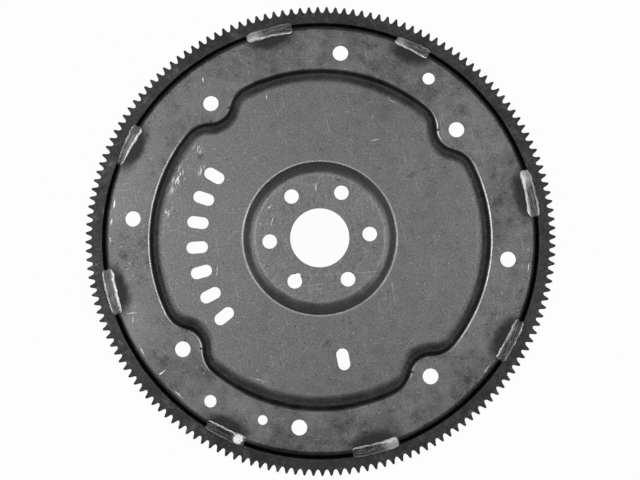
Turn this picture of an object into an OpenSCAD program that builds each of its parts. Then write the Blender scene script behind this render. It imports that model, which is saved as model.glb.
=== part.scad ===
// Flexplate: a pressed steel disc that carries a shrunk-on, welded starter ring gear.
// The engine side faces up (+Z) and the crank axis is Z.
// Z = 0 is the rear face of the ring gear, level with the edge of the rim flange.

/* [Ring gear] */
// Number of teeth around the ring
gear_teeth = 164; // [148:4:180]
// Radial thickness of the ring between its bore and the roots of the teeth
gear_wall = 10.55; // [8:0.05:14]
// Face width of the ring, along the axis
gear_width = 10.5; // [8:0.5:11]
// Depth of the teeth, from tip to root
tooth_depth = 4.9; // [4:0.1:5.5]
// Thickness of a tooth at half its depth
tooth_thick = 3; // [2.6:0.1:3.4]
// Angle of the tooth flanks
tooth_flank = 20; // [14:0.5:22]
// Width of the bevel on each tooth tip edge
tip_bevel = 0.4; // [0.2:0.05:0.5]
// Chamfer on the outer edges of the ring
gear_edge = 0.5; // [0.3:0.1:1]
// Chamfer on the bore's engine side, where the welds sit
gear_lead = 2.8; // [1.5:0.1:3.5]

/* [Rim] */
// Thickness of the pressed sheet
sheet = 3; // [2:0.1:3.2]
// Outside diameter of the rim flange, which is also the ring gear's bore
rim_od = 331; // [326:0.5:336]
// Height of the converter ring's face above the flange edge
rim_depth = 15; // [14:0.5:20]
// Outside bend radius from the ring to the flange
rim_bend = 3.5; // [3.5:0.5:6]

/* [Dish step] */
// Radius of the dish's foot between the lobes
dish_foot_r = 133.2; // [130:0.2:136]
// Height of the dish above the converter ring
dish_rise = 10; // [9:0.5:14]
// Slope of the dish wall
dish_slope = 68; // [55:1:78]
// Radius of the flat pad around each inner converter hole
pad_r = 12.9; // [11:0.1:16]
// Radius that blends a pad into the dish's round
lobe_r = 24; // [18:0.5:28]
// Inside bend radius at the foot of the steps
foot_bend = 3; // [2:0.5:4]
// Outside bend radius at the crest of the steps
crest_bend = 7.5; // [5:0.5:8.5]

/* [Hub step] */
// Radius of the hub's foot
hub_foot_r = 59.8; // [56:0.1:66]
// Height of the hub above the dish
hub_rise = 4.5; // [4:0.1:5.2]
// Slope of the hub wall
hub_slope = 24; // [20:1:34]

/* [Crank holes] */
// Diameter of the pilot hole
pilot_d = 45; // [40:0.5:50]
// Bolt circle of the crank holes
crank_pcd = 76.2; // [74:0.1:80]
// Diameter of each crank hole
crank_hole_d = 11.1; // [9:0.1:12]
// Number of crank holes
crank_holes = 6; // [4:1:8]
// Angle by which the indexing hole is moved from its even place
index_shift = -4; // [-8:0.5:8]
// Radius of the notch that marks the indexing hole
notch_r = 1.9; // [1:0.1:2.5]
// Distance from the indexing hole's centre to the notch's centre
notch_reach = 5; // [4:0.1:6]

/* [Converter holes] */
// Number of holes in each converter pattern
converter_holes = 4; // [3:1:5]
// Bolt circle of the outer pattern
outer_pcd = 289.6; // [286:0.1:300]
// Hole diameter of the outer pattern
outer_hole_d = 12; // [9:0.1:13]
// Bolt circle of the inner pattern, which stands on the pads
inner_pcd = 269.4; // [266:0.1:272]
// Hole diameter of the inner pattern
inner_hole_d = 12; // [9:0.1:13]
// Angle from +X to the first hole of the outer pattern
converter_turn = 19.5; // [0:0.5:45]

/* [Slots and tooling holes] */
// Number of slots in the row
slot_count = 7; // [1:1:9]
// Angle between neighbouring slots
slot_pitch = 11.65; // [9:0.05:14]
// Angle to the middle of the row
slot_turn = 210; // [200:0.5:230]
// Angle to the lone slot
lone_slot_turn = 306.7; // [295:0.1:325]
// Radius to the middle of a slot
slot_mid_r = 93.8; // [84:0.1:100]
// Width of a slot
slot_w = 9.2; // [7:0.1:11]
// Length of a slot, along the radius
slot_len = 16.5; // [12:0.1:20]
// Diameter of the two tooling holes, which lie opposite each other
tool_hole_d = 9.5; // [7:0.1:11]
// Radius to the tooling holes
tool_hole_r = 149.6; // [146:0.1:152]
// Angle to the first tooling hole
tool_hole_turn = 81.7; // [78:0.1:92]
// Diameter of the balance hole
balance_hole_d = 7.4; // [5:0.1:9]
// Radius to the balance hole
balance_hole_r = 145; // [143:0.1:152]
// Angle to the balance hole
balance_hole_turn = 278.2; // [275:0.1:286]

/* [Weld beads] */
// Angle from each outer converter hole to the beads beside it
weld_spread = 20; // [15:0.5:28]
// Length of the bead ahead of each hole
weld_long = 34; // [26:0.5:40]
// Length of the bead behind each hole
weld_short = 29; // [24:0.5:40]
// Rounding radius of a bead's crown
weld_crown = 6.8; // [6.7:0.1:7.4]
// Extra radius of the puddle at a bead's ends
weld_puddle = 0.3; // [0.2:0.05:0.6]
// Distance from the flange's outer wall in to the centre of the crown
weld_inset = 2.5; // [2:0.1:3.2]
// Depth of the centre of the crown under the converter ring's face
weld_sink = 6.5; // [6:0.1:6.6]

/* [Hidden] */
$fn = 180;

// Straight chords in each bend of the pressed sheet
bend_chords = 8;
// Overlap of neighbouring cuts, so that no skin is left between them
overlap = 0.05;
// Extra reach of a cut past the face that it opens
past = 1;

rim_r = rim_od / 2;
gear_root_r = rim_r + gear_wall;
gear_tip_r = gear_root_r + tooth_depth;
ring_z = rim_depth;
dish_z = ring_z + dish_rise;
hub_z = dish_z + hub_rise;
pad_dist = inner_pcd / 2;
pad_turn = converter_turn + 180 / converter_holes;
index_turn = 270;

// Places of the lobe blends: the blend circle touches the dish's foot from inside and the pad from outside
blend_dist = dish_foot_r - lobe_r;
blend_to_pad = pad_r + lobe_r;
blend_turn = corner_angle(pad_dist, blend_dist, blend_to_pad);
pad_half = corner_angle(pad_dist, blend_to_pad, blend_dist);

// Angle between two sides of a triangle, from the third
function corner_angle(a, b, opposite) = acos((a * a + b * b - opposite * opposite) / (2 * a * b));

function arc(centre, r, from, to) =
    [for (i = [0 : bend_chords])
        let (a = from + (to - from) * i / bend_chords)
        centre + r * [cos(a), sin(a)]];

// Plan width of a pressed step, from its foot to its crest
function step_run(rise, slope) =
    let (bends = foot_bend + crest_bend)
    let (straight = (rise - bends * (1 - cos(slope))) / sin(slope))
    bends * sin(slope) + straight * cos(slope);

// Side of a pressed step as [distance in from the foot, height], at a depth under the sheet's upper face
function step_side(foot_z, rise, slope, depth) =
    concat(
        arc([0, foot_z + foot_bend], foot_bend + depth, -90, slope - 90),
        arc([step_run(rise, slope), foot_z + rise - crest_bend], crest_bend - depth, slope + 90, 90));

function dish_side(depth) = step_side(ring_z, dish_rise, dish_slope, depth);
function hub_side(depth) = step_side(dish_z, hub_rise, hub_slope, depth);
function rim_side(depth) = arc([rim_r - rim_bend, ring_z - rim_bend], rim_bend - depth, 0, 90);

// The round press form without its lobes, solid down to a given height
module round_form(depth, low) {
    rotate_extrude()
        polygon(concat(
            [[0, low], [rim_r - depth, low]],
            rim_side(depth),
            [for (p = dish_side(depth)) [dish_foot_r - p.x, p.y]],
            [for (p = hub_side(depth)) [hub_foot_r - p.x, p.y]],
            [[0, hub_z - depth]]));
}

// Cut from the dish's round to the pad, along the blend on one side
module blend_cut(depth) {
    wall_r = lobe_r - overlap;
    reach = blend_to_pad - pad_r / 2;
    top = dish_z - depth + past;
    rotate(blend_turn)
        translate([blend_dist, 0, 0])
            rotate_extrude(start = -blend_turn - pad_half, angle = blend_turn + pad_half)
                polygon(concat(
                    [for (p = dish_side(depth)) [wall_r - p.x, p.y]],
                    [[wall_r - step_run(dish_rise, dish_slope), top],
                     [reach, top],
                     [reach, ring_z - depth]]));
}

// Cut that sinks the flat pad around an inner converter hole into the dish's edge
module pad_cut(depth) {
    top = dish_z - depth + past;
    translate([pad_dist, 0, 0])
        rotate_extrude()
            polygon(concat(
                [[0, ring_z - depth]],
                [for (p = dish_side(depth)) [pad_r + p.x, p.y]],
                [[pad_r + step_run(dish_rise, dish_slope), top], [0, top]]));
}

module around_pads() {
    for (i = [0 : converter_holes - 1])
        rotate(pad_turn + i * 360 / converter_holes)
            children();
}

module press_form(depth, low) {
    difference() {
        difference() {
            round_form(depth, low);
            around_pads() {
                blend_cut(depth);
                mirror([0, 1, 0]) blend_cut(depth);
            }
        }
        around_pads() pad_cut(depth);
    }
}

module hole(r, turn, d) {
    rotate(turn)
        translate([r, 0, -past])
            cylinder(d = d, h = hub_z + 2 * past);
}

module slot(turn) {
    half = (slot_len - slot_w) / 2;
    hole_h = hub_z + 2 * past;
    rotate(turn)
        translate([slot_mid_r, 0, -past]) {
            for (side = [-1, 1])
                translate([side * half, 0, 0])
                    cylinder(d = slot_w, h = hole_h);
            translate([-half, -slot_w / 2, 0])
                cube([2 * half, slot_w, hole_h]);
        }
}

module crank_cuts() {
    hole(0, 0, pilot_d);
    for (i = [1 : crank_holes - 1])
        hole(crank_pcd / 2, index_turn + i * 360 / crank_holes, crank_hole_d);
    hole(crank_pcd / 2, index_turn + index_shift, crank_hole_d);
    hole(crank_pcd / 2 - notch_reach, index_turn + index_shift, 2 * notch_r);
}

module converter_cuts() {
    for (i = [0 : converter_holes - 1]) {
        turn = converter_turn + i * 360 / converter_holes;
        hole(outer_pcd / 2, turn, outer_hole_d);
        hole(inner_pcd / 2, turn + 180 / converter_holes, inner_hole_d);
    }
}

module slot_cuts() {
    for (i = [0 : slot_count - 1])
        slot(slot_turn + (i - (slot_count - 1) / 2) * slot_pitch);
    slot(lone_slot_turn);
}

module tooling_cuts() {
    for (turn = [tool_hole_turn, tool_hole_turn + 180])
        hole(tool_hole_r, turn, tool_hole_d);
    hole(balance_hole_r, balance_hole_turn, balance_hole_d);
}

module plate() {
    color([0.46, 0.46, 0.46])
        difference() {
            press_form(0, 0);
            press_form(sheet, -past);
            crank_cuts();
            converter_cuts();
            slot_cuts();
            tooling_cuts();
        }
}

// Half of one tooth, from the middle of its tip to the middle of the gap, as [radius, distance along the arc]
function half_tooth() =
    let (mid_r = gear_tip_r - tooth_depth / 2)
    let (lean = tan(tooth_flank))
    let (half_pitch = 180 / gear_teeth)
    let (half_gap = gear_root_r * half_pitch * PI / 180)
    let (flank_low = gear_root_r + tooth_depth / 4)
    let (flank_low_half = tooth_thick / 2 + lean * (mid_r - flank_low))
    let (flank_high = gear_tip_r - tip_bevel)
    let (flank_high_half = tooth_thick / 2 - lean * (flank_high - mid_r))
    [[gear_tip_r, flank_high_half - tip_bevel],
     [flank_high, flank_high_half],
     [flank_low, flank_low_half],
     [gear_root_r + tooth_depth / 14, (flank_low_half + half_gap) / 2],
     [gear_root_r, half_gap]];

function tooth_point(p, side, turn) =
    let (a = turn + side * p.y / p.x * 180 / PI)
    p.x * [cos(a), sin(a)];

module tooth_outline() {
    half = half_tooth();
    last = len(half) - 1;
    polygon([for (i = [0 : gear_teeth - 1])
        let (turn = i * 360 / gear_teeth)
        each concat(
            [for (j = [last : -1 : 0]) tooth_point(half[j], -1, turn)],
            [for (j = [0 : last - 1]) tooth_point(half[j], 1, turn)])]);
}

module ring_gear() {
    color([0.27, 0.27, 0.27])
        intersection() {
            rotate_extrude()
                polygon([
                    [rim_r, 0],
                    [gear_tip_r - gear_edge, 0],
                    [gear_tip_r, gear_edge],
                    [gear_tip_r, gear_width - gear_edge],
                    [gear_tip_r - gear_edge, gear_width],
                    [rim_r + gear_lead, gear_width],
                    [rim_r, gear_width - gear_lead]]);
            translate([0, 0, -past])
                linear_extrude(gear_width + 2 * past)
                    tooth_outline();
        }
}

// Space above the plate's rim and the ring gear, which a bead fills
module weld_groove(half_angle) {
    inner_r = rim_r - 4 * rim_bend;
    top = ring_z + weld_crown;
    rim = rim_side(0);
    rotate_extrude(start = -half_angle, angle = 2 * half_angle)
        polygon(concat(
            [[gear_root_r, top], [inner_r, top], [inner_r, ring_z]],
            [for (i = [bend_chords : -1 : 0]) rim[i]],
            [[rim_r, gear_width - gear_lead],
             [rim_r + gear_lead, gear_width],
             [gear_root_r, gear_width]]));
}

module weld_bead(length) {
    crown_r = rim_r - weld_inset;
    crown_z = ring_z - weld_sink;
    end_r = weld_crown + weld_puddle;
    half_angle = (length / 2 - end_r) / crown_r * 180 / PI;
    color([0.62, 0.62, 0.62])
        intersection() {
            union() {
                rotate_extrude(start = -half_angle, angle = 2 * half_angle)
                    translate([crown_r, crown_z])
                        circle(weld_crown, $fn = 48);
                for (side = [-1, 1])
                    rotate(side * half_angle)
                        translate([crown_r, 0, crown_z])
                            sphere(end_r, $fn = 48);
            }
            weld_groove(half_angle * 4);
        }
}

// Beads are numbered in pairs around the rim: the long one ahead of each hole, then the short one behind it
module placed_bead(number) {
    hole_index = floor((number - 1) / 2);
    ahead = number % 2 == 1;
    rotate(converter_turn + hole_index * 360 / converter_holes + (ahead ? weld_spread : -weld_spread))
        weld_bead(ahead ? weld_long : weld_short);
}

plate();
ring_gear();
for (i = [1 : 8])
    placed_bead(i);
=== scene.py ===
import functools
import math
from typing import NamedTuple

import bmesh
import bpy
from bpy.props import FloatProperty, FloatVectorProperty, IntProperty, PointerProperty
from bpy.types import Operator, Panel, PropertyGroup
from mathutils import Matrix, Vector, noise


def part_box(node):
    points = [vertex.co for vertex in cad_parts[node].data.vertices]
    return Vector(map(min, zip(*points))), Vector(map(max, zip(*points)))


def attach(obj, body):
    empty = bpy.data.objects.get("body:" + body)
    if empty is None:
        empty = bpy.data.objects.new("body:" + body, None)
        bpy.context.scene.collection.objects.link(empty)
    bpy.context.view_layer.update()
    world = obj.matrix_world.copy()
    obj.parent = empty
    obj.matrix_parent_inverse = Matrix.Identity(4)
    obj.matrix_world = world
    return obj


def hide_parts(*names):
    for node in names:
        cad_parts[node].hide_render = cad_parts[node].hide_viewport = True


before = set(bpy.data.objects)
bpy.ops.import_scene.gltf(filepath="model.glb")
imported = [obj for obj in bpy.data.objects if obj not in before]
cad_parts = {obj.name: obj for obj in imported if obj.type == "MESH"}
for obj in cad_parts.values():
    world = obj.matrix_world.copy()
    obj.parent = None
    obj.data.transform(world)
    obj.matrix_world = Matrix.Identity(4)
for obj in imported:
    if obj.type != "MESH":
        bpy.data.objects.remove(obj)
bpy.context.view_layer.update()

bl_info = {
    "name": "Flexplate finish",
    "version": (1, 0, 0),
    "blender": (4, 5, 0),
    "location": "View3D > Sidebar > Flexplate",
    "description": "Dresses a pressed flexplate in worn steel, with rippled weld beads and a white studio",
    "category": "Object",
}

MM = 0.001
BODY = "root"
BEAD_NODES = sorted(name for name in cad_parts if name.startswith("weld_bead"))

# Plan angle of the photograph's right-hand direction, from +X, and its directions on the plan
PHOTO_RIGHT = math.radians(25.68)
RIGHT = Vector((math.cos(PHOTO_RIGHT), math.sin(PHOTO_RIGHT), 0))
UP = Vector((-math.sin(PHOTO_RIGHT), math.cos(PHOTO_RIGHT), 0))


def points_of(node):
    """Corners of a CAD node's mesh."""
    return [v.co.copy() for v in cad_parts[node].data.vertices]


PLATE = points_of("plate")
GEAR = points_of("ring_gear")

# Heights of the plate's flats, measured on its CAD node in bands that lie on one flat
RING_FROM = 140 * MM
DISH_FROM, DISH_TO = 70 * MM, 110 * MM
SAME_HEIGHT = 0.01 * MM
DISH_HEIGHTS = [p.z for p in PLATE if DISH_FROM < p.xy.length < DISH_TO]
RING_Z = max(p.z for p in PLATE if p.xy.length > RING_FROM)
DISH_Z = max(DISH_HEIGHTS)
HUB_Z = max(p.z for p in PLATE)
SHEET = DISH_Z - min(DISH_HEIGHTS)

# The groove between the rim and the ring gear, where the beads lie
BEND_START = max(p.xy.length for p in PLATE if abs(p.z - RING_Z) < SAME_HEIGHT)
GEAR_BORE = min(p.xy.length for p in GEAR)
RIM_BEND = GEAR_BORE - BEND_START
GEAR_FACE_Z = max(p.z for p in GEAR)
GEAR_FACE_R = min(p.xy.length for p in GEAR if GEAR_FACE_Z - p.z < SAME_HEIGHT)


def plan(angle, radius):
    """Point on the plan at an angle in degrees and a radius in millimetres."""
    turn = math.radians(angle)
    return Vector((math.cos(turn), math.sin(turn), 0)) * radius * MM


# The dish's foot line is a circle that four pads draw in, with a blend circle on each side of a pad
DISH_FOOT_R = 133.2 * MM
PAD_R = 12.9 * MM
BLEND_R = 24 * MM
PADS = [plan(64.5 + 90 * quarter, 134.7) for quarter in range(4)]
HUB_FOOT_R = 59.8 * MM

# Bends and slopes of both steps as the CAD node has them, and how far further in the shown steps start
FOOT_BEND = 3 * MM
CAD_CREST = 7.5 * MM
CAD_DISH_SLOPE = math.radians(68)
CAD_HUB_SLOPE = math.radians(24)
SHOWN_SHIFT = 0.8 * MM

# Mesh that the shown steps need: rings along the dish's borders and slices of the hub's wall
DISH_RINGS, DISH_RING_GAP = 3, 1.15 * MM
HUB_SLICES = 14


class BeadSpan:
    """Where one weld bead lies: measured on its CAD node, then moved and stretched as the welder laid it."""

    def __init__(self, node, shift, stretch):
        points = points_of(node)
        low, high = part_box(node)
        middle = (low + high) / 2
        turn = math.atan2(middle.y, middle.x)
        ahead = [(Matrix.Rotation(-turn, 3, "Z") @ p) for p in points]
        self.turn = turn + math.radians(shift)
        self.half_angle = max(abs(math.atan2(p.y, p.x)) for p in ahead) * stretch
        self.inner_r = min(p.xy.length for p in points)
        self.outer_r = max(p.xy.length for p in points)


class BeadLay(NamedTuple):
    """How one bead was laid: its brightness, which is partly clean metal and partly painted highlight, its
    width against an even one, and its place.

    shift is the angle from an even place in degrees, and stretch the length against an even one.
    """

    start: float
    middle: float
    finish: float
    start_width: float
    finish_width: float
    shift: float
    stretch: float


BEAD_LAYS = [
    BeadLay(0.35, 0.3, 1.1, 1.0, 0.75, -1.4, 1.1),
    BeadLay(0.3, 0.22, 0.25, 0.85, 0.8, -1.9, 1.22),
    BeadLay(0.3, 0.3, 1.1, 0.95, 0.7, 0.1, 1.08),
    BeadLay(0.35, 0.3, 0.85, 0.9, 0.62, 0.6, 1.0),
    BeadLay(0.5, 0.5, 0.5, 0.95, 0.85, 0.5, 1.06),
    BeadLay(0.45, 0.55, 0.5, 0.95, 0.5, 0.1, 1.2),
    BeadLay(0.1, 0.2, 1.1, 0.85, 0.75, 1.2, 1.08),
    BeadLay(0.2, 0.1, 0.3, 0.8, 0.9, 0.3, 1.15),
]
SPATTER_BEAD = 8
BEADS = [BeadSpan(node, lay.shift, lay.stretch) for node, lay in zip(BEAD_NODES, BEAD_LAYS)]


# Sizes and colours that a user would change

class PlateFinish(PropertyGroup):
    """Sizes and colours of the pressed sheet."""

    dark_steel: FloatVectorProperty(
        name="Dark steel", description="Colour of the dull patches of the sheet",
        subtype="COLOR", size=4, min=0, max=1, default=(0.06, 0.06, 0.06, 1))
    light_steel: FloatVectorProperty(
        name="Light steel", description="Colour of the clean patches of the sheet",
        subtype="COLOR", size=4, min=0, max=1, default=(0.3, 0.3, 0.3, 1))
    # Colour of scuffed bare metal, also used for the painted highlights at the steps' feet and along the
    # rim's edge.
    scuff_and_highlight_colour: FloatVectorProperty(
        name="Bright scuff", description="Colour of metal laid bare by scuffs and scratches",
        subtype="COLOR", size=4, min=0, max=1, default=(0.72, 0.72, 0.72, 1))
    # Colour of the stains and heat halos, also used for the painted shade in the groove below the ring's
    # face.
    heat_stain_and_groove_shade: FloatVectorProperty(
        name="Heat stain", description="Colour of the sheet beside the welds",
        subtype="COLOR", size=4, min=0, max=1, default=(0.03, 0.03, 0.03, 1))
    edge_roll: FloatProperty(
        name="Edge roll", description="Width of the rolled edge at punched holes",
        unit="LENGTH", default=0.3 * MM, min=0.05 * MM, max=0.8 * MM)
    dish_crest: FloatProperty(
        name="Dish crest", description="Radius of the round at the top of the dish's step",
        unit="LENGTH", default=10.2 * MM, min=7.5 * MM, max=12 * MM)
    dish_slope: FloatProperty(
        name="Dish slope", description="Steepest slope of the dish's step",
        subtype="ANGLE", default=math.radians(66), min=math.radians(60), max=math.radians(68))
    hub_crest: FloatProperty(
        name="Hub crest", description="Radius of the round at the top of the hub's step",
        unit="LENGTH", default=11 * MM, min=7.5 * MM, max=13 * MM)
    hub_slope: FloatProperty(
        name="Hub slope", description="Steepest slope of the hub's step",
        subtype="ANGLE", default=math.radians(36), min=math.radians(24), max=math.radians(40))


class GearFinish(PropertyGroup):
    """Colours of the ring gear."""

    dark_face: FloatVectorProperty(
        name="Dark face", description="Colour of the heat-treated steel",
        subtype="COLOR", size=4, min=0, max=1, default=(0.034, 0.034, 0.034, 1))
    worn_face: FloatVectorProperty(
        name="Worn face", description="Colour where handling has rubbed the ring",
        subtype="COLOR", size=4, min=0, max=1, default=(0.16, 0.16, 0.16, 1))


class WeldFinish(PropertyGroup):
    """Sizes and colours of the weld beads."""

    edge_height: FloatProperty(
        name="Edge height", description="Height of a bead's edges over the steel beside them",
        unit="LENGTH", default=0.7 * MM, min=0.2 * MM, max=1.5 * MM)
    crown: FloatProperty(
        name="Crown", description="Height that the middle of a bead stands out further",
        unit="LENGTH", default=0.7 * MM, min=0.3 * MM, max=2 * MM)
    inner_toe: FloatProperty(
        name="Inner toe", description="Distance that a bead spreads on to the plate beyond its even width",
        unit="LENGTH", default=0.7 * MM, min=0, max=2 * MM)
    outer_toe: FloatProperty(
        name="Outer toe", description="Distance that a bead spreads on to the gear beyond its even width",
        unit="LENGTH", default=1.2 * MM, min=0, max=2 * MM)
    ripple_pitch: FloatProperty(
        name="Ripple pitch", description="Distance between the ripples of a bead",
        unit="LENGTH", default=2.1 * MM, min=1 * MM, max=4 * MM)
    ripple_height: FloatProperty(
        name="Ripple height", description="Height of the ripples of a bead",
        unit="LENGTH", default=0.07 * MM, min=0, max=0.5 * MM)
    # Colour of the bright weld, used both for clean metal and for painted highlights on the beads' ends and
    # the spatter blob.
    bright: FloatVectorProperty(
        name="Bright weld", description="Colour of the clean metal of a bead",
        subtype="COLOR", size=4, min=0, max=1, default=(0.92, 0.92, 0.92, 1))
    oxide: FloatVectorProperty(
        name="Weld oxide", description="Colour of the dull metal of a bead",
        subtype="COLOR", size=4, min=0, max=1, default=(0.09, 0.09, 0.09, 1))
    steps_along: IntProperty(
        name="Steps along", description="Mesh steps along a bead", default=96, min=24, max=160)
    steps_across: IntProperty(
        name="Steps across", description="Mesh steps across a bead", default=24, min=8, max=32)


class StudioStage(PropertyGroup):
    """Floor, lamps and camera."""

    floor_size: FloatProperty(
        name="Floor size", description="Half width of the floor",
        unit="LENGTH", default=6.0, min=2, max=20)
    white_share: FloatProperty(
        name="White share", description="Share of the floor's white that no shadow dims",
        subtype="FACTOR", default=0.97, min=0, max=1)
    camera_distance: FloatProperty(
        name="Camera distance", description="Distance from the converter ring to the camera",
        unit="LENGTH", default=1.36, min=0.5, max=3)
    field_width: FloatProperty(
        name="Field width", description="Width that the picture takes in at the converter ring",
        unit="LENGTH", default=0.4907, min=0.3, max=1)
    centre_drop: FloatProperty(
        name="Centre drop", description="Distance from the part's axis down to the middle of the picture",
        unit="LENGTH", default=0.78 * MM, min=-0.1, max=0.1)
    lean_down: FloatProperty(
        name="Lean down", description="Angle of the camera towards the picture's lower edge",
        subtype="ANGLE", default=math.radians(3.9), min=0, max=0.5)
    lean_right: FloatProperty(
        name="Lean right", description="Angle of the camera towards the picture's right edge",
        subtype="ANGLE", default=math.radians(1.0), min=0, max=0.5)
    overhead_power: FloatProperty(
        name="Overhead power", description="Mean power of the two overhead softboxes, in watts",
        default=6.5, min=0)
    side_power: FloatProperty(
        name="Side power", description="Power of each side strip lamp, in watts", default=6, min=0)
    sky: FloatProperty(
        name="Sky", description="Strength of the even light from all round", default=0.13, min=0, max=2)


# Shader maths

class Wire:
    """One shader socket. Arithmetic on it adds Math nodes to its tree."""

    def __init__(self, tree, socket=None):
        self.tree = tree
        self.socket = socket

    def node(self, kind, settings=None, sockets=None, output=0):
        """Adds a node of any kind: its settings first, then its sockets' values or links."""
        made = self.tree.nodes.new(kind)
        for name, value in (settings or {}).items():
            setattr(made, name, value)
        for name, value in (sockets or {}).items():
            self.feed(made.inputs[name], value)
        return Wire(self.tree, made.outputs[output] if made.outputs else None)

    def feed(self, entry, value):
        """Links a wire to an input socket, or sets the socket to a constant."""
        if isinstance(value, Wire):
            self.tree.links.new(value.socket, entry)
        else:
            entry.default_value = value

    def beside(self, output):
        """Another output of the node that this socket belongs to."""
        return Wire(self.tree, self.socket.node.outputs[output])

    def maths(self, operation, first, second=0.0):
        return self.node("ShaderNodeMath", {"operation": operation}, {0: first, 1: second})

    def __add__(self, other):
        return self.maths("ADD", self, other)

    def __radd__(self, other):
        return self.maths("ADD", other, self)

    def __sub__(self, other):
        return self.maths("SUBTRACT", self, other)

    def __rsub__(self, other):
        return self.maths("SUBTRACT", other, self)

    def __mul__(self, other):
        return self.maths("MULTIPLY", self, other)

    def __rmul__(self, other):
        return self.maths("MULTIPLY", other, self)

    def __abs__(self):
        return self.maths("ABSOLUTE", self)

    def above(self, low, high):
        """0 below low, 1 above high and smooth between them."""
        settings = {"interpolation_type": "SMOOTHSTEP"}
        return self.node("ShaderNodeMapRange", settings, {"Value": self, "From Min": low, "From Max": high})

    def greatest(self, other):
        return self.maths("MAXIMUM", self, other)

    def least(self, other):
        return self.maths("MINIMUM", self, other)

    def held(self, low, high):
        """The value, kept between two limits."""
        return self.greatest(low).least(high)


def blotches(coords, scale, detail=3.0, roughness=0.55, shift=0.0):
    """Noise from 0 to 1 whose blotches measure about 1 / scale metres."""
    moved = coords.node("ShaderNodeMapping", None, {"Vector": coords, "Location": (shift, shift * 0.7, 0)})
    return coords.node("ShaderNodeTexNoise", None,
                       {"Vector": moved, "Scale": scale, "Detail": detail, "Roughness": roughness})


def streaks(coords, turn, fine, stretch, low, high):
    """Thin straight scratches that run at an angle on the plan."""
    turned = coords.node("ShaderNodeMapping", {"vector_type": "TEXTURE"},
                         {"Vector": coords, "Rotation": (0, 0, turn), "Scale": (stretch, 1, 1)})
    lines = coords.node("ShaderNodeTexNoise", None,
                        {"Vector": turned, "Scale": fine, "Detail": 1.0, "Roughness": 0.4})
    return lines.above(low, high)


def spot(coords, centre, length, width, turn, core):
    """Soft oval on the plan: 1 inside its core, 0 past its edge."""
    local = coords.node("ShaderNodeMapping", {"vector_type": "TEXTURE"},
                        {"Vector": on_plan(coords), "Location": centre, "Rotation": (0, 0, turn),
                         "Scale": (length / 2, width / 2, 1)})
    return 1 - plan_gap(local, (0, 0, 0)).above(core, 1)


def on_plan(coords):
    """Coordinates with their height left out."""
    return coords.node("ShaderNodeVectorMath", {"operation": "MULTIPLY"}, {0: coords, 1: (1, 1, 0)})


def plan_gap(flat, centre):
    """Distance on the plan from a centre."""
    return flat.node("ShaderNodeVectorMath", {"operation": "DISTANCE"}, {0: flat, 1: centre}, "Value")


def torn(coords, scale, reach):
    """Coordinates shaken by noise, which give a mark a ragged outline."""
    ragged = coords.node("ShaderNodeTexNoise", None,
                         {"Vector": coords, "Scale": scale, "Detail": 3.0}, "Color")
    shaken = coords.node("ShaderNodeVectorMath", {"operation": "SUBTRACT"}, {0: ragged, 1: (0.5, 0.5, 0.5)})
    shaken = coords.node("ShaderNodeVectorMath", {"operation": "SCALE"}, {0: shaken, "Scale": reach})
    return coords.node("ShaderNodeVectorMath", {"operation": "ADD"}, {0: coords, 1: shaken})


def mixed(factor, first, second):
    """Colour between two colours."""
    return factor.node("ShaderNodeMix", {"data_type": "RGBA"}, {0: factor, 6: first, 7: second}, 2)


def bumped(height, strength, distance):
    """Normal of fine relief in the surface."""
    return height.node("ShaderNodeBump", None, {"Height": height, "Strength": strength, "Distance": distance})


def metal(name, paint):
    """Metal material whose varying sockets come from a paint function."""
    material = bpy.data.materials.new(name)
    material.use_nodes = True
    tree = material.node_tree
    shader = tree.nodes["Principled BSDF"]
    shader.inputs["Metallic"].default_value = 1.0
    coords = Wire(tree).node("ShaderNodeTexCoord", output="Object")
    for socket, wire in paint(coords).items():
        coords.feed(shader.inputs[socket], wire)
    return material


# Marks on the sheet, in degrees and millimetres: plan angle, radius, length, width, and lie from the
# photograph's right
SCUFFS = [
    (182, 117.5, 42, 12, 60), (170, 115.5, 18, 9, 62), (195, 117, 15, 7, 80), (176, 104, 14, 8, 60),
]
SCRATCHES = [
    (223.7, 82.3, 11, 0.8, 84), (86.4, 86.2, 9, 0.9, 15), (136.3, 116, 5, 1.0, 90), (187.2, 38.3, 9, 0.7, 75),
    (173.8, 44.6, 6, 1.6, 30), (272.6, 117, 20, 0.8, -15), (227.2, 155, 10, 1.0, 4), (229, 156, 8, 0.9, 86),
    (87.8, 118.5, 13, 0.8, -25), (119.9, 38.9, 8, 1.6, 88), (152, 153, 6, 1.6, 100), (205, 36, 6, 1.4, 130),
]
# Painted highlights along the rim's edge, at the left, the right and the lower left.
RIM_EDGE_HIGHLIGHTS = [
    (196, 160.6, 10, 1.5, 80), (201, 161, 8, 1.3, 86), (206, 161.2, 7, 1.1, 92), (237.5, 160.8, 12, 1.5, 122),
    (246, 158.5, 10, 1.2, 38), (253.6, 160.5, 12, 1.5, 138), (347.8, 161.4, 12, 1.2, 52),
    (18, 161, 9, 1.0, 82),
]
STAINS = [
    (243.9, 149.7, 18, 12, 35), (240.5, 153.5, 14, 10, 30), (210.5, 152, 16, 10, 100), (217, 156, 12, 8, 100),
    (68.2, 148, 20, 15, 40), (101.4, 155, 14, 18, 90), (349.1, 155, 12, 8, 60), (11.2, 158.7, 10, 6, 80),
    (299.9, 81, 14, 9, 70), (171.4, 110.4, 7, 9, 80), (90, 120, 14, 7, -30), (60, 85, 12, 9, 20),
]


# Halo that the heat of a weld leaves: how far it passes a bead's ends in all, its width and its dark core
HALO_EXTRA = 16 * MM
HALO_WIDTH = 23 * MM
HALO_CORE = 0.4

# Radii of the painted highlights on the hub: a light ring at its crest and a line at its foot
HUB_CREST_HIGHLIGHT_R = 50 * MM
HUB_FOOT_HIGHLIGHT_R = 58.9 * MM


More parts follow.
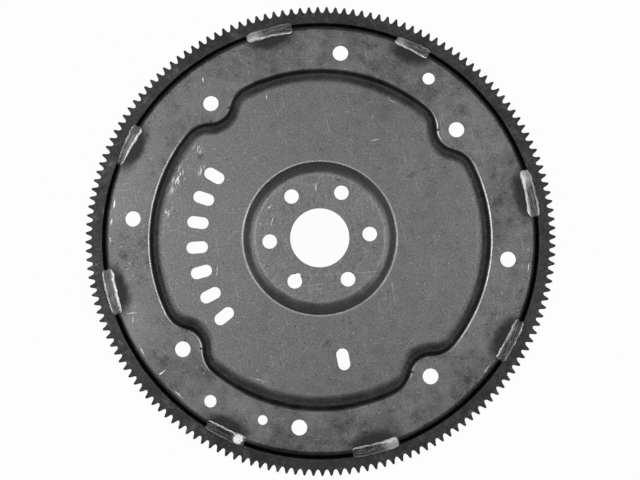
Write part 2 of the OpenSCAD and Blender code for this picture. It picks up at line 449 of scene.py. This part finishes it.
def strongest(masks):
    """The highest of several masks at each place."""
    return functools.reduce(Wire.greatest, masks)


def photo_marks(coords, marks, core):
    """Oval marks that lie as in the photograph."""
    return strongest(
        spot(coords, plan(angle, radius), length * MM, width * MM, PHOTO_RIGHT + math.radians(lie), core)
        for angle, radius, length, width, lie in marks)


def weld_heat(coords):
    """Dark halo on the steel beside each bead."""
    return strongest(
        spot(coords, Vector((math.cos(bead.turn), math.sin(bead.turn), 0)) * bead.inner_r,
             2 * bead.half_angle * bead.inner_r + HALO_EXTRA, HALO_WIDTH, bead.turn + math.pi / 2, HALO_CORE)
        for bead in BEADS)


def foot_highlight_band(height, flat_z):
    """Painted highlight in a thin band just above the flat at the foot of a step."""
    rise = height - flat_z
    return rise.above(0.01 * MM, 0.04 * MM) * (1 - rise.above(0.45 * MM, 0.8 * MM))


def sheet_steel(finish):
    """Bare pressed sheet: mottled, specked, scratched and heat-stained, with painted shade on the dish's wall
    and in the groove, and painted light on the ring's left side, the hub's wall and crest, the steps' feet
    and the rim's edge.
    """

    def paint(coords):
        ragged = torn(coords, 220.0, 6 * MM)
        split = coords.node("ShaderNodeSeparateXYZ", None, {0: coords})
        height = split.beside("Z")
        across = coords.node("ShaderNodeVectorMath", {"operation": "DOT_PRODUCT"},
                             {0: coords, 1: RIGHT}, "Value")
        ring = 1 - height.above(RING_Z + 0.3 * MM, RING_Z + 2 * MM)

        cloud = blotches(coords, 24.0, 4.0, 0.6)
        mottle = blotches(coords, 110.0, 4.0, 0.55, 3.1)
        grain = blotches(coords, 800.0, 2.0, 0.6, 7.7)
        radius = plan_gap(on_plan(coords), (0, 0, 0))
        hub = height.above(DISH_Z + 0.3 * MM, DISH_Z + 1.2 * MM)
        # Painted highlight: a light ring on the hub's crest.
        crest = 1 - abs(radius - HUB_CREST_HIGHLIGHT_R).above(0.5 * MM, 3.5 * MM)
        # Painted light: the ring is made lighter on the left side.
        left = 1 - across.above(-0.15, -0.11)
        # Painted light: the hub's wall is made lighter.
        wall = height.above(DISH_Z + 0.4 * MM, DISH_Z + 1.0 * MM)
        wall = wall * (1 - height.above(HUB_Z - 1.2 * MM, HUB_Z - 0.3 * MM))
        tone = 0.44 - 0.09 * ring + 0.06 * hub + 0.14 * crest + 0.1 * left * ring + 0.3 * wall
        tone = tone + (cloud - 0.5) * (0.35 + 0.85 * ring)
        tone = tone + (mottle - 0.5) * (0.5 + 0.5 * ring) + (grain - 0.5) * (1.1 - 0.1 * ring)

        patchy = blotches(coords, 40.0, 2.0, 0.5, 11.0).above(0.45, 0.62)
        lines = streaks(coords, 0.5, 800.0, 22.0, 0.64, 0.72).greatest(
            streaks(coords, 2.2, 700.0, 18.0, 0.65, 0.73)).greatest(
            streaks(coords, 1.3, 900.0, 26.0, 0.66, 0.74))
        specks = blotches(coords, 430.0, 1.0, 0.4, 23.0).above(0.69, 0.76)
        pits = blotches(coords, 360.0, 1.0, 0.4, 31.0).above(0.69, 0.76)
        # Painted shade: the dish's wall, from just above the ring's face to near the dish's top, is made
        # darker.
        streaks_and_wall_shade = height.above(RING_Z + 0.6 * MM, RING_Z + 1.2 * MM)
        streaks_and_wall_shade = streaks_and_wall_shade * (1 - height.above(DISH_Z - 4 * MM, DISH_Z - 0.4 * MM))
        tone = tone + specks * 0.4 + lines * patchy * 0.25 - pits * 0.3 - streaks_and_wall_shade * 0.3

        brushed = streaks(coords, PHOTO_RIGHT + math.radians(78), 900.0, 4.0, 0.53, 0.62)
        rub = photo_marks(ragged, SCUFFS, 0.0) * brushed
        cut = photo_marks(coords, SCRATCHES, 0.2) * blotches(coords, 500.0, 2.0, 0.6, 9.0).above(0.32, 0.5)
        # Painted highlights along the rim's edge, broken up by noise.
        edge = photo_marks(torn(coords, 500.0, 2 * MM), RIM_EDGE_HIGHLIGHTS, 0.1)
        edge = edge * blotches(coords, 420.0, 3.0, 0.7, 19.0).above(0.36, 0.54)
        bare_and_rim_highlight = (rub * 0.85).greatest(cut * 0.85).greatest(edge)
        stain = photo_marks(ragged, STAINS, 0.0) * blotches(coords, 260.0, 3.0, 0.6, 15.0).above(0.36, 0.6)
        # Real heat halos beside the beads, and painted shade on all of the sheet lower than the ring's face,
        # where the rim bends down into the groove.
        heat_and_groove_shade = weld_heat(ragged).greatest(1 - height.above(RING_Z - 1.2 * MM, RING_Z - 0.02 * MM))

        # Painted highlights: a line along the dish's foot on the left and right sides only, and a faint line
        # round the hub's foot.
        sides = abs(across).above(0.045, 0.1)
        hub_foot = 1 - abs(radius - HUB_FOOT_HIGHLIGHT_R).above(0.2 * MM, 1.2 * MM)
        foot = (foot_highlight_band(height, RING_Z) * sides).greatest(hub_foot * (0.15 + grain * 0.5))
        foot = foot * (0.7 + 0.3 * patchy)

        color = mixed(tone.held(0.0, 1.4), finish.dark_steel, finish.light_steel)
        color = mixed(stain * 0.6, color, finish.heat_stain_and_groove_shade)
        color = mixed(heat_and_groove_shade * 0.85, color, finish.heat_stain_and_groove_shade)
        color = mixed(bare_and_rim_highlight.greatest(foot), color, finish.scuff_and_highlight_colour)
        dull = 0.4 + (mottle - 0.5) * 0.25 + (cloud - 0.5) * 0.2 - bare_and_rim_highlight * 0.08 + heat_and_groove_shade * 0.12 - foot * 0.12
        relief = grain * 0.6 + mottle * 0.8 - lines * patchy * 0.5 - cut * 0.8
        return {"Base Color": color, "Roughness": dull, "Normal": bumped(relief, 0.35, 0.08 * MM)}

    return metal("pressed_sheet_steel", paint)


def gear_steel(finish):
    """Dark heat-treated steel with turning marks and handling wear."""

    def paint(coords):
        radius = plan_gap(on_plan(coords), (0, 0, 0))
        rings = coords.node("ShaderNodeCombineXYZ", None, {"X": radius * 9.0, "Y": 0.0, "Z": 0.0})
        turned = blotches(rings, 160.0, 3.0, 0.6)
        cloud = blotches(coords, 45.0, 4.0, 0.6, 6.0)
        mottle = blotches(coords, 190.0, 4.0, 0.65, 2.0)
        grain = blotches(coords, 900.0, 2.0, 0.6, 4.0)
        rubbed = blotches(coords, 90.0, 4.0, 0.65, 8.0).above(0.54, 0.72)
        lines = streaks(coords, 0.9, 700.0, 16.0, 0.64, 0.73).greatest(
            streaks(coords, 2.6, 650.0, 14.0, 0.65, 0.74))
        wear = 0.12 + rubbed * (0.1 + mottle * 0.5) + lines * 0.18 + (turned - 0.5) * 0.25
        wear = wear + (cloud - 0.5) * 0.5 + (mottle - 0.5) * 0.6 + (grain - 0.5) * 0.5
        wear = wear.held(0.0, 1.0)
        color = mixed(wear, finish.dark_face, finish.worn_face)
        color = mixed(weld_heat(torn(coords, 220.0, 4 * MM)) * 0.6, color, finish.dark_face)
        dull = 0.46 + (mottle - 0.5) * 0.25 - wear * 0.12
        relief = turned * 0.5 + grain * 0.5 + mottle * 0.4
        return {"Base Color": color, "Roughness": dull, "Normal": bumped(relief, 0.3, 0.06 * MM)}

    return metal("ring_gear_steel", paint)


def weld_metal(finish):
    """As-welded metal streaked along each bead, whose bright ends and spatter blob are partly painted
    highlight.
    """

    def paint(coords):
        place = coords.node("ShaderNodeAttribute", {"attribute_name": "bead_place"}, None, "Vector")
        split = coords.node("ShaderNodeSeparateXYZ", None, {0: place})
        across, along, glow = split, split.beside("Y"), split.beside("Z")
        toes = 1 - abs(abs(across - 0.5) - 0.37).above(0.03, 0.11)
        edge = abs(across - 0.5).above(0.43, 0.49)
        flow = coords.node("ShaderNodeCombineXYZ", None,
                           {"X": across * 5.0, "Y": along * 0.7, "Z": glow * 2.0})
        streaks_and_wall_shade = blotches(flow, 3.0, 4.0, 0.65)
        mottle = blotches(coords, 600.0, 3.0, 0.6, 3.0)
        bright = glow * 0.95 - 0.05 + toes * 0.35 + (streaks_and_wall_shade - 0.5) * 2.8 + (mottle - 0.5) * 0.5
        bright = (bright - edge * 0.5).held(0.0, 1.0)
        color = mixed(bright, finish.oxide, finish.bright)
        dull = 0.46 - bright * 0.1 + (mottle - 0.5) * 0.2
        # Painted highlight: the bright ends lose part of their metal sheen and show matte white.
        frosted_highlight = (glow + (streaks_and_wall_shade - 0.5) * 1.4).above(0.55, 1.15) * (1 - glow.above(1.25, 1.6)) * 0.7
        relief = streaks_and_wall_shade + mottle * 0.4
        return {"Base Color": color, "Roughness": dull, "Metallic": 1 - frosted_highlight,
                "Normal": bumped(relief, 0.6, 0.4 * MM)}

    return metal("weld_metal", paint)


# Pieces

# Sizes of a face normal's upright part that count as level, nearly level and upright
LEVEL, NEAR_LEVEL, UPRIGHT = 0.99999, 0.9999, 0.01

# Weight that Blender's Weighted Normal modifier reads as strong
STRONG_FACE = 16384
SHARP_FROM = math.radians(32)


def merged_copy(node):
    """A CAD node's mesh with its loose triangles joined and its needle-thin ones removed."""
    shape = bmesh.new()
    shape.from_mesh(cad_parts[node].data)
    bmesh.ops.remove_doubles(shape, verts=shape.verts, dist=0.002 * MM)
    bmesh.ops.dissolve_degenerate(shape, dist=0.01 * MM, edges=shape.edges)
    return shape


def is_punched(edge):
    """True where a level face meets an upright wall, as at the rim of a punched hole."""
    if not edge.is_manifold:
        return False
    slants = sorted(abs(face.normal.z) for face in edge.link_faces)
    return slants[0] < UPRIGHT and slants[1] > NEAR_LEVEL


def roll_punched_edges(shape, width):
    """Rounds the edges of the holes and of the flange."""
    bmesh.ops.bevel(shape, geom=[e for e in shape.edges if is_punched(e)], offset=width,
                    offset_type="OFFSET", affect="EDGES", segments=2, profile=0.5,
                    material=-1, clamp_overlap=True)


def dish_inset(point):
    """Distance on the plan from the dish's foot line to a point inside it."""
    place = point.xy
    pad = min((pad.xy for pad in PADS), key=lambda centre: (place - centre).length)
    reach = DISH_FOOT_R - BLEND_R
    span = PAD_R + BLEND_R
    swing = math.acos((pad.length ** 2 + reach ** 2 - span ** 2) / (2 * pad.length * reach))
    side = math.copysign(1, pad.cross(place))
    blend = (Matrix.Rotation(side * swing, 2) @ pad).normalized() * reach
    out = place - blend
    if side * out.cross(blend) > 0 and side * (pad - blend).cross(out) > 0:
        return BLEND_R - out.length
    return min(DISH_FOOT_R - place.length, (place - pad).length - PAD_R)


def hub_inset(point):
    """Distance on the plan from the hub's foot circle to a point inside it."""
    return HUB_FOOT_R - point.xy.length


class StepProfile:
    """Profile of a pressed step: a foot bend, a straight wall and a crest bend."""

    def __init__(self, rise, crest, slope, shift=0.0):
        self.rise = rise
        self.crest = crest
        self.shift = shift
        self.sine, self.cosine = math.sin(slope), math.cos(slope)
        bends = FOOT_BEND + crest
        straight = (rise - bends * (1 - self.cosine)) / self.sine
        self.run = bends * self.sine + straight * self.cosine

    def height(self, inset):
        """Height over the foot, at a distance inside the foot line."""
        inset = min(max(inset - self.shift, 0.0), self.run)
        if inset <= FOOT_BEND * self.sine:
            return FOOT_BEND - math.sqrt(FOOT_BEND ** 2 - inset ** 2)
        if inset >= self.run - self.crest * self.sine:
            return self.rise - self.crest + math.sqrt(self.crest ** 2 - (self.run - inset) ** 2)
        return FOOT_BEND * (1 - self.cosine) + (inset - FOOT_BEND * self.sine) * self.sine / self.cosine


def is_level(face):
    return abs(face.normal.z) > LEVEL


def ring_flats(shape, top, rings, spacing):
    """Adds rings of vertices to both sides of a flat, along its borders."""
    flats = [f for f in shape.faces if is_level(f)
             and min(abs(f.calc_center_median().z - level) for level in (top, top - SHEET)) < SAME_HEIGHT]
    for _ in range(rings):
        bmesh.ops.inset_region(shape, faces=flats, thickness=spacing, use_boundary=True, use_even_offset=True)


def slice_wall(shape, foot, top, inset_of, run, slices):
    """Adds level rings of vertices to the wall of a step."""
    walls = [f for f in shape.faces if not is_level(f) and 0 < inset_of(f.calc_center_median()) < run]
    parts = {part for face in walls for part in (face, *face.edges, *face.verts)}
    for number in range(1, slices):
        level = foot - SHEET + (top - foot + SHEET) * number / slices
        parts = bmesh.ops.bisect_plane(shape, geom=list(parts), dist=0.001 * MM,
                                       plane_co=(0, 0, level), plane_no=(0, 0, 1))["geom"]


def soften_step(shape, inset_of, pressed, shown):
    """Moves the sheet from the step's CAD profile to the rounder one that is shown."""
    for vert in shape.verts:
        inset = inset_of(vert.co)
        if 0 < inset < pressed.run + shown.run:
            vert.co.z += shown.height(inset) - pressed.height(inset)


def shown_piece(name, shape, material, slot, *nodes):
    """Makes a shape into a smooth-shaded piece that stands for CAD nodes."""
    mesh = bpy.data.meshes.new(name)
    shape.to_mesh(mesh)
    shape.free()
    mesh.shade_smooth()
    mesh.set_sharp_from_angle(angle=SHARP_FROM)
    mesh.materials.append(material)
    piece = bpy.data.objects.new(name, mesh)
    bpy.context.scene.collection.objects.link(piece)
    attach(piece, BODY)
    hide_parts(*nodes)
    for node in nodes:
        finish_node(node, material)
    return piece


def finish_node(node, material):
    """Gives a CAD node the same finish as the piece that stands for it."""
    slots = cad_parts[node].data.materials
    slots.clear()
    slots.append(material)


def mark_flats(shape):
    """Makes level faces outweigh the bends beside them in the shading."""
    strength = shape.faces.layers.int.new("__mod_weightednormals_faceweight")
    for face in shape.faces:
        if is_level(face):
            face[strength] = STRONG_FACE


def flatten_shading(piece):
    """Keeps the shading of level faces flat beside the bends."""
    weighted = piece.modifiers.new("flat faces", "WEIGHTED_NORMAL")
    weighted.mode = "FACE_AREA"
    weighted.weight = 50
    weighted.keep_sharp = True
    weighted.use_face_influence = True


class FLEXPLATE_OT_plate(Operator):
    """Dress the pressed plate with rolled hole edges, rounder steps and worn sheet steel"""

    bl_idname = "flexplate.plate"
    bl_label = "Pressed plate"

    def execute(self, context):
        finish = context.scene.flexplate_plate
        shape = merged_copy("plate")
        roll_punched_edges(shape, finish.edge_roll)
        ring_flats(shape, DISH_Z, DISH_RINGS, DISH_RING_GAP)
        pressed = StepProfile(DISH_Z - RING_Z, CAD_CREST, CAD_DISH_SLOPE)
        shown = StepProfile(DISH_Z - RING_Z, finish.dish_crest, finish.dish_slope, SHOWN_SHIFT)
        soften_step(shape, dish_inset, pressed, shown)
        pressed = StepProfile(HUB_Z - DISH_Z, CAD_CREST, CAD_HUB_SLOPE)
        shown = StepProfile(HUB_Z - DISH_Z, finish.hub_crest, finish.hub_slope, SHOWN_SHIFT)
        slice_wall(shape, DISH_Z, HUB_Z, hub_inset, pressed.run, HUB_SLICES)
        soften_step(shape, hub_inset, pressed, shown)
        mark_flats(shape)
        piece = shown_piece("pressed_plate", shape, sheet_steel(finish), "plate_steel", "plate")
        flatten_shading(piece)
        return {"FINISHED"}


class FLEXPLATE_OT_ring_gear(Operator):
    """Dress the starter ring gear in dark steel"""

    bl_idname = "flexplate.ring_gear"
    bl_label = "Ring gear"

    def execute(self, context):
        finish = context.scene.flexplate_gear
        shape = merged_copy("ring_gear")
        mark_flats(shape)
        piece = shown_piece("starter_ring_gear", shape, gear_steel(finish), "gear_steel", "ring_gear")
        flatten_shading(piece)
        return {"FINISHED"}


class FLEXPLATE_OT_weld_beads(Operator):
    """Lay the rippled weld beads between the plate's rim and the ring gear"""

    bl_idname = "flexplate.weld_beads"
    bl_label = "Weld beads"

    def execute(self, context):
        finish = context.scene.flexplate_weld
        material = weld_metal(finish)
        for number, (node, span, lay) in enumerate(zip(BEAD_NODES, BEADS, BEAD_LAYS), 1):
            shape = bead_shape(finish, span, lay, number)
            shown_piece(f"rippled_bead_{number}", shape, material, "weld_metal", node)
        return {"FINISHED"}


# How far a bead's toes wander and its crown is lumpy, the crater at its finish and the top of the spatter
TOE_WANDER = 0.7 * MM
LUMPS = 0.3 * MM
CRATER = 0.5 * MM
SPATTER_Z = RING_Z + 1.2 * MM

# Radius of the line that a bead narrows to at its ends, and how far a bead sinks into the steel
SEAM_R = GEAR_BORE - 0.4 * MM
SINK = 0.05 * MM


def groove_height(radius):
    """Height of the rim bend or the gear face under a bead."""
    if radius >= GEAR_BORE:
        return GEAR_FACE_Z - max(0.0, GEAR_FACE_R - radius)
    past = max(radius - BEND_START, 0.0)
    return RING_Z - RIM_BEND + math.sqrt(RIM_BEND ** 2 - past ** 2)


def eased(share):
    """0 to 1 with level ends."""
    share = min(max(share, 0.0), 1.0)
    return share * share * (3 - 2 * share)


def bead_surface(finish, span, lay, number, across, along):
    """Point on a bead as (angle, radius, height): across from inner to outer toe, along from -1 to 1."""
    length = span.half_angle * span.inner_r
    shift = Vector((number * 7.3, 0, 0))
    wander = noise.noise(shift + Vector((along * 4, 0, 0))) * TOE_WANDER
    stray = noise.noise(shift + Vector((along * 5, 9, 0))) * TOE_WANDER
    full = max(0.0, 1 - abs(along) ** 10) ** 0.5
    width = lay.start_width + (lay.finish_width - lay.start_width) * (along + 1) / 2
    share = width * (0.35 + 0.65 * full)
    inner_r = SEAM_R + (span.inner_r - finish.inner_toe + wander - SEAM_R) * share
    outer_r = SEAM_R + (span.outer_r + finish.outer_toe + stray - SEAM_R) * share
    radius = inner_r + (outer_r - inner_r) * across

    inner_z, outer_z = groove_height(inner_r), groove_height(outer_r)
    pool = max(0.0, lay.finish - 0.5) * eased((along - 0.2) / 0.4)
    height = inner_z + (outer_z - inner_z) * eased((across - 0.09 - 0.3 * pool) / (0.78 - 0.2 * pool))
    body = max(0.0, 1 - abs(2 * across - 1) ** 5) ** 0.5 * full
    bulge = math.sin(math.pi * across) ** 2 * full
    wave = along * length / finish.ripple_pitch + 0.9 * (2 * across - 1) ** 2
    height += finish.edge_height * body + finish.crown * bulge
    height += finish.ripple_height * math.sin(2 * math.pi * wave) * bulge
    height += noise.noise(shift + Vector((along * 9, across * 3, 4))) * LUMPS * bulge
    height -= CRATER * math.exp(-((along - 0.92) / 0.07) ** 2 - ((across - 0.5) / 0.18) ** 2)
    if number == SPATTER_BEAD:
        height += (SPATTER_Z - height) * spatter(across, along)
    return span.turn + along * span.half_angle, radius, height


def spatter(across, along):
    """Share of the round blob of weld spatter on one bead's end."""
    distance = math.hypot((along - 0.66) / 0.32, (across - 0.5) / 0.5)
    return eased((1 - distance) / 0.35)


def bead_glow(lay, number, across, along):
    """Brightness along a bead, from its start over its middle to its finish, partly painted highlight."""
    glow = lay.middle + (lay.finish - lay.middle) * eased((along - 0.1) / 0.65)
    glow += (lay.start - lay.middle) * eased((-along - 0.3) / 0.6)
    # Painted highlight: the spatter blob is made bright enough to show nearly white.
    return glow + (1.8 * spatter(across, along) if number == SPATTER_BEAD else 0)


def bead_shape(finish, span, lay, number):
    """One closed bead: a grid raised into the crown, then extruded down to the groove."""
    shape = bmesh.new()
    bmesh.ops.create_grid(shape, x_segments=finish.steps_along, y_segments=finish.steps_across, size=1)
    place = shape.verts.layers.float_vector.new("bead_place")
    for vert in shape.verts:
        across = (vert.co.y + 1) / 2
        vert[place] = (across, vert.co.x, bead_glow(lay, number, across, vert.co.x))
    sunk = bmesh.ops.extrude_face_region(shape, geom=shape.faces[:])
    below = {item for item in sunk["geom"] if isinstance(item, bmesh.types.BMVert)}
    for vert in shape.verts:
        across, along, _ = vert[place]
        angle, radius, height = bead_surface(finish, span, lay, number, across, along)
        if vert in below:
            height = min(height, groove_height(radius)) - SINK
        vert.co = (radius * math.cos(angle), radius * math.sin(angle), height)
    bmesh.ops.remove_doubles(shape, verts=shape.verts, dist=0.01 * MM)
    bmesh.ops.recalc_face_normals(shape, faces=shape.faces)
    return shape


# Stage: places of the lamps from the middle of the converter ring, and their sizes, in metres

OVERHEAD_SIDE, OVERHEAD_SHIFT, OVERHEAD_UP, OVERHEAD_Z = 0.62, 0.06, 0.2, 2.2
OVERHEAD_SIZE = (0.55, 0.85)
STRIP_SIDE, STRIP_Z = 1.5, 1.85
STRIP_SIZE = (0.3, 2.0)

# Share by which the left softbox is stronger than the mean, and the right one weaker
OVERHEAD_TILT = 0.1


def white_floor(share):
    """Floor that shows white to the camera, to gloss and through holes, and keeps a soft shadow."""
    material = bpy.data.materials.new("white_floor")
    material.use_nodes = True
    tree = material.node_tree
    tree.nodes.clear()
    start = Wire(tree)
    path = start.node("ShaderNodeLightPath", output="Is Camera Ray")
    seen = path.greatest(path.beside("Is Glossy Ray")).greatest(path.beside("Is Transmission Ray"))
    shine = start.node("ShaderNodeEmission", None, {"Color": (1, 1, 1, 1), "Strength": 1.0})
    paper = start.node("ShaderNodeBsdfDiffuse", None, {"Color": (0.8, 0.8, 0.8, 1)})
    mix = start.node("ShaderNodeMixShader", None, {0: seen * share, 1: paper, 2: shine})
    start.node("ShaderNodeOutputMaterial", None, {"Surface": mix})
    return material


def facing(place, aim):
    """Transform of a lamp or camera at a place, level with the photograph and turned to its aim."""
    back = (place - aim).normalized()
    side = (RIGHT - back * RIGHT.dot(back)).normalized()
    return Matrix.Translation(place) @ Matrix((side, back.cross(side), back)).transposed().to_4x4()


def softbox(name, place, size, power, aim):
    """Adds a rectangular lamp that faces its aim."""
    lamp = bpy.data.lights.new(name, "AREA")
    lamp.shape = "RECTANGLE"
    lamp.size, lamp.size_y = size
    lamp.energy = power
    holder = bpy.data.objects.new(name, lamp)
    holder.matrix_world = facing(place, aim)
    bpy.context.scene.collection.objects.link(holder)


class FLEXPLATE_OT_stage(Operator):
    """Set the white floor, the softboxes and the camera"""

    bl_idname = "flexplate.stage"
    bl_label = "Studio stage"

    def execute(self, context):
        scene = context.scene
        stage = scene.flexplate_stage
        scene.view_settings.view_transform = "Standard"
        shape = bmesh.new()
        bmesh.ops.create_grid(shape, x_segments=1, y_segments=1, size=stage.floor_size)
        mesh = bpy.data.meshes.new("floor")
        shape.to_mesh(mesh)
        shape.free()
        mesh.materials.append(white_floor(stage.white_share))
        floor = bpy.data.objects.new("floor", mesh)
        scene.collection.objects.link(floor)

        world = bpy.data.worlds.new("studio")
        world.use_nodes = True
        background = world.node_tree.nodes["Background"]
        background.inputs["Color"].default_value = (1, 1, 1, 1)
        background.inputs["Strength"].default_value = stage.sky
        scene.world = world

        target = Vector((0, 0, RING_Z))
        for name, side in (("left", -1), ("right", 1)):
            above = target + RIGHT * (side * OVERHEAD_SIDE + OVERHEAD_SHIFT) + UP * OVERHEAD_UP
            above = above + Vector((0, 0, OVERHEAD_Z))
            beside = target + RIGHT * side * STRIP_SIDE + Vector((0, 0, STRIP_Z))
            power = stage.overhead_power * (1 - OVERHEAD_TILT * side)
            softbox(f"{name}_overhead", above, OVERHEAD_SIZE, power, target)
            softbox(f"{name}_strip", beside, STRIP_SIZE, stage.side_power, target)

        lens = bpy.data.cameras.new("photo_camera")
        lens.sensor_fit = "HORIZONTAL"
        lens.angle = 2 * math.atan(stage.field_width / 2 / stage.camera_distance)
        camera = bpy.data.objects.new("photo_camera", lens)
        lean = Vector((0, 0, 1)) + RIGHT * math.tan(stage.lean_right) - UP * math.tan(stage.lean_down)
        centre = target - UP * stage.centre_drop
        camera.matrix_world = facing(centre + lean.normalized() * stage.camera_distance, centre)
        scene.collection.objects.link(camera)
        scene.camera = camera
        return {"FINISHED"}


class FLEXPLATE_PT_tools(Panel):
    """Lists the flexplate's pieces and its stage"""

    bl_idname = "FLEXPLATE_PT_tools"
    bl_label = "Flexplate"
    bl_space_type = "VIEW_3D"
    bl_region_type = "UI"
    bl_category = "Flexplate"

    def draw(self, context):
        for operator in OPERATORS:
            self.layout.operator(operator.bl_idname)


OPERATORS = (FLEXPLATE_OT_stage, FLEXPLATE_OT_plate, FLEXPLATE_OT_ring_gear, FLEXPLATE_OT_weld_beads)
GROUPS = {
    "flexplate_plate": PlateFinish,
    "flexplate_gear": GearFinish,
    "flexplate_weld": WeldFinish,
    "flexplate_stage": StudioStage,
}


def register():
    for name, group in GROUPS.items():
        bpy.utils.register_class(group)
        setattr(bpy.types.Scene, name, PointerProperty(type=group))
    for item in (*OPERATORS, FLEXPLATE_PT_tools):
        bpy.utils.register_class(item)


def unregister():
    for item in reversed((*OPERATORS, FLEXPLATE_PT_tools)):
        bpy.utils.unregister_class(item)
    for name, group in GROUPS.items():
        delattr(bpy.types.Scene, name)
        bpy.utils.unregister_class(group)


def main():
    register()
    bpy.ops.flexplate.stage()
    bpy.ops.flexplate.plate()
    bpy.ops.flexplate.ring_gear()
    bpy.ops.flexplate.weld_beads()


if __name__ == "__main__":
    main()
